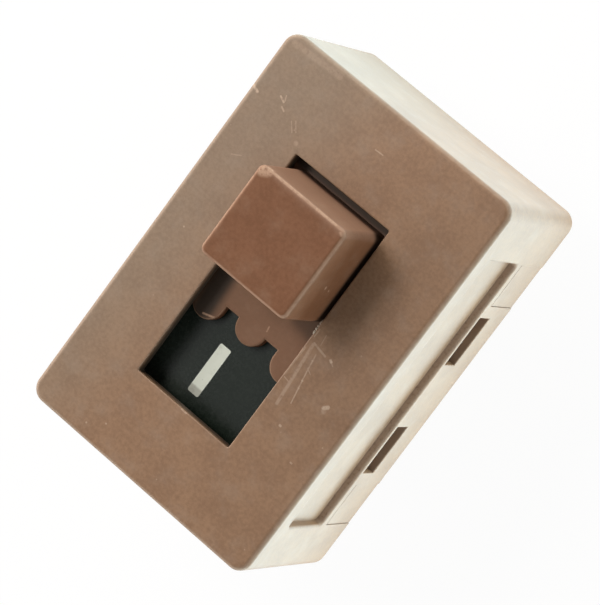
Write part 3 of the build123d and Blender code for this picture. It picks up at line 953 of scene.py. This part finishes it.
FACE_MARKS = (
    # Scratches and specks beside the slot
    Blemish((6.34, -0.2, 0.0), (6.92, -6.92, 0.0), 0.26, 0.34),
    Blemish((6.5, -2.53, 0.0), (6.75, -5.2, 0.0), 0.1, 0.4),
    Blemish((5.85, -0.9, 0.0), (5.75, -4.2, 0.0), 0.16, 0.34),
    Blemish((7.17, -0.77, 0.0), (7.44, -2.6, 0.0), 0.1, 0.4),
    Blemish((7.44, -2.6, 0.0), (8.06, -6.0, 0.0), 0.1, 0.5),
    Blemish((7.24, -1.42, 0.0), (7.26, -1.42, 0.0), 0.14, 0.6),
    Blemish((7.61, -3.59, 0.0), (7.63, -3.6, 0.0), 0.15, 0.7),
    Blemish((7.76, -4.38, 0.0), (7.78, -4.4, 0.0), 0.14, 0.6),
    Blemish((6.34, 0.0, 0.0), (8.01, -0.31, 0.0), 0.16, 0.42),
    Blemish((8.7, -0.27, 0.0), (8.85, -0.35, 0.0), 0.2, 0.9),
    Blemish((8.85, -0.35, 0.0), (9.21, -0.58, 0.0), 0.1, 0.3),
    Blemish((10.98, -4.29, 0.0), (11.32, -3.96, 0.0), 0.28, 0.8),
    Blemish((11.15, -4.5, 0.0), (11.2, -4.54, 0.0), 0.36, 0.35),
    Blemish((5.92, -4.43, 0.0), (6.62, -4.54, 0.0), 0.08, 0.36),
    Blemish((7.3, -2.3, 0.0), (7.94, -2.62, 0.0), 0.09, 0.34),
    Blemish((5.97, 1.35, 0.0), (5.94, 0.5, 0.0), 0.1, 0.4),
    Blemish((6.86, 1.34, 0.0), (6.99, 0.21, 0.0), 0.08, 0.26),
    Blemish((8.5, -8.4, 0.0), (8.6, -8.4, 0.0), 0.18, 0.6),
    Blemish((11.6, -10.5, 0.0), (11.75, -10.5, 0.0), 0.14, 0.5),
    # Nicks and streaks near the far left corner
    Blemish((-14.36, 15.69, -0.2), (-13.55, 15.4, 0.0), 0.22, 0.85),
    Blemish((-11.31, 16.52, 0.0), (-10.7, 16.23, 0.0), 0.14, 0.7),
    Blemish((-10.86, 16.9, 0.0), (-10.67, 16.39, 0.0), 0.1, 0.42),
    Blemish((-10.57, 15.77, 0.0), (-10.16, 15.56, 0.0), 0.13, 0.5),
    Blemish((-8.9, 15.29, 0.0), (-8.19, 14.45, 0.0), 0.1, 0.26),
    Blemish((-8.55, 15.56, 0.0), (-7.86, 14.7, 0.0), 0.1, 0.26),
    Blemish((-7.2, 13.88, 0.0), (-7.22, 13.9, 0.0), 0.36, 0.3),
    Blemish((-11.9, 9.03, 0.0), (-10.97, 9.55, 0.0), 0.1, 0.26),
    Blemish((-13.3, 21.4, 0.0), (-7.6, 21.7, 0.0), 0.5, 0.22),
    # Painted light: the ledges of the clip recesses made paler, as if lit
    Blemish((13.95, -16.3, -12.3), (13.95, 16.3, -12.3), 0.6, 0.55),
    Blemish((-13.95, -16.3, -12.3), (-13.95, 16.3, -12.3), 0.6, 0.55),
    # Short marks at both ends of the slot
    Blemish((-0.3, 18.35, 0.0), (0.6, 18.4, 0.0), 0.1, 0.55),
    Blemish((-0.5, -13.55, 0.0), (0.1, -13.6, 0.0), 0.16, 0.6),
)
# Painted shade on the slot's left and lower walls, which stand in shade below the face.
SLOT_PAINTED_SHADE = (
    Blemish((-6.55, -13.5, -1.55), (-6.55, 13.1, -1.55), 1.7, 0.9),
    Blemish((-6.55, -13.5, -1.55), (5.65, -13.5, -1.55), 1.7, 0.8),
    Blemish((-6.55, -13.5, -2.9), (-6.55, 13.1, -2.9), 1.7, 0.9),
)
KNOB_MARKS = (
    # Specks on the right side
    Blemish((5.1, 5.7, 3.9), (5.1, 5.6, 3.8), 0.24, 0.8),
    Blemish((5.1, 5.4, 2.7), (5.1, 5.3, 2.5), 0.18, 0.6),
    # A burr on the carrier plate, and a painted glint along the edge of its left lobe
    Blemish((0.9, -2.2, -2.45), (1.0, -2.7, -2.45), 0.12, 0.6),
    Blemish((-5.42, -5.46, -2.5), (-4.12, -5.06, -2.5), 0.16, 0.9),
    # Pale stretches of the top's back edge, partly wear and partly painted highlight
    Blemish((-5.45, 11.3, 8.2), (-4.9, 11.6, 8.2), 0.75, 0.85),
    Blemish((-4.6, 11.8, 8.15), (-0.8, 11.8, 8.15), 0.26, 0.7),
    Blemish((1.2, 11.8, 8.15), (3.6, 11.8, 8.15), 0.26, 0.7),
    Blemish((4.5, 11.5, 8.15), (4.7, 11.4, 8.15), 0.28, 0.7),
)
# Painted shade on the knob moulding: the carrier in the gap at the knob's +Y end, the foot of its +Y side, the gap
# along its +X side, the knob's shadow below its lower corner, and the left wall's shadow over the left lobe.
KNOB_PAINTED_SHADE = (
    Blemish((-6.4, 12.7, -2.45), (5.6, 12.7, -2.45), 1.1, 0.85),
    Blemish((-6.0, 12.1, -1.5), (5.2, 12.1, -1.5), 1.1, 0.6),
    Blemish((5.3, 1.4, -0.8), (5.3, 12.0, -0.8), 1.5, 0.85),
    Blemish((3.4, 0.7, -2.45), (4.9, 0.5, -2.45), 2.0, 0.5),
    Blemish((-5.7, -5.0, -2.6), (-6.1, 1.5, -2.45), 1.95, 0.88),
)


def main() -> None:
    """Build the switch's looks and the studio."""
    logging.basicConfig(level=logging.INFO, format="%(message)s")
    # Painted reflection: a grey veil that thickens towards the face's -X side and runs down the walls on that side.
    face_painted_reflection = PaintedVeil((0.225, 0.225, 0.18), 0.3, (-1.0, -4.0, 0.0), (-15.0, -1.0, 0.0))
    # Painted light: lifts the black plate towards the slot's left wall, where the wall shades it.
    plate_painted_light = PaintedVeil((0.042, 0.054, 0.043), 0.5, (-2.6, -8.5, -3.7), (-6.6, -10.5, -3.7))
    # Painted light: lightens the knob's +Y side, as if lit from that end.
    knob_painted_light = PaintedVeil((0.3, 0.18, 0.125), 0.45, (0.0, 11.0, 0.0), (0.0, 11.9, 0.0))
    Housing(
        # The housing's paler film on upward faces low on its sides is painted light on the ledges of the clip
        # recesses, with some dust.
        MouldedPlastic("housing_brown", (0.19, 0.106, 0.0565), (0.25, 0.147, 0.082), (0.5, 0.38, 0.28),
                       film=(0.28, 0.205, 0.15), specular=0.33, edge_wear=0.25, settled_dust_and_light=0.6, settled_below=-11.5,
                       painted_veil=face_painted_reflection, marks=FACE_MARKS, painted_shade=SLOT_PAINTED_SHADE),
    ).build()
    MouldFlash(
        MouldedPlastic("flash_pale", (0.3, 0.24, 0.17), (0.4, 0.33, 0.25), (0.55, 0.48, 0.38), dust=0.0),
    ).build()
    Slider(
        # The knob's paler film on its carrier plate is partly dust, partly a painted veil of reflection.
        MouldedPlastic("knob_brown", (0.148, 0.063, 0.0285), (0.184, 0.083, 0.041), (0.47, 0.31, 0.21),
                       film=(0.27, 0.18, 0.12), film_share=0.22, roughness=0.52, specular=0.18, edge_wear=0.47,
                       dust=0.3, settled_dust_and_light=0.35, settled_below=-1.0, painted_veil=knob_painted_light, marks=KNOB_MARKS,
                       painted_shade=KNOB_PAINTED_SHADE),
        MouldedPlastic("carrier_plastic", (0.5, 0.47, 0.39), (0.58, 0.55, 0.47), (0.7, 0.68, 0.6),
                       film=(0.42, 0.38, 0.3)),
    ).build()
    MarkWindow(
        MouldedPlastic("plate_black", (0.0065, 0.0115, 0.0075), (0.0085, 0.014, 0.0095), (0.05, 0.055, 0.045),
                       film=(0.011, 0.016, 0.012), roughness=0.26, specular=0.24, edge_wear=0.0, dust=0.15,
                       painted_veil=plate_painted_light),
        PaintFill("mark_white", (0.8, 0.87, 0.76), (0.36, 0.37, 0.31), -11.7),
    ).build()
    ContactSet(
        StampedMetal("terminal_brass", (0.78, 0.58, 0.27), (0.38, 0.24, 0.1), 0.3, 0.45),
        StampedMetal("bridge_brass", (0.72, 0.52, 0.24), (0.34, 0.2, 0.09), 0.34, 0.5, lines=(3.0, 0.25, 3.0)),
        StampedMetal("contact_silver", (0.84, 0.83, 0.8), (0.3, 0.28, 0.25), 0.25, 0.35),
        StampedMetal("spring_steel", (0.6, 0.6, 0.61), (0.28, 0.26, 0.24), 0.28, 0.25, lines=(3.0, 0.25, 3.0)),
    ).build()
    Studio(lamps=LAMPS).build()


if __name__ == "__main__":
    main()
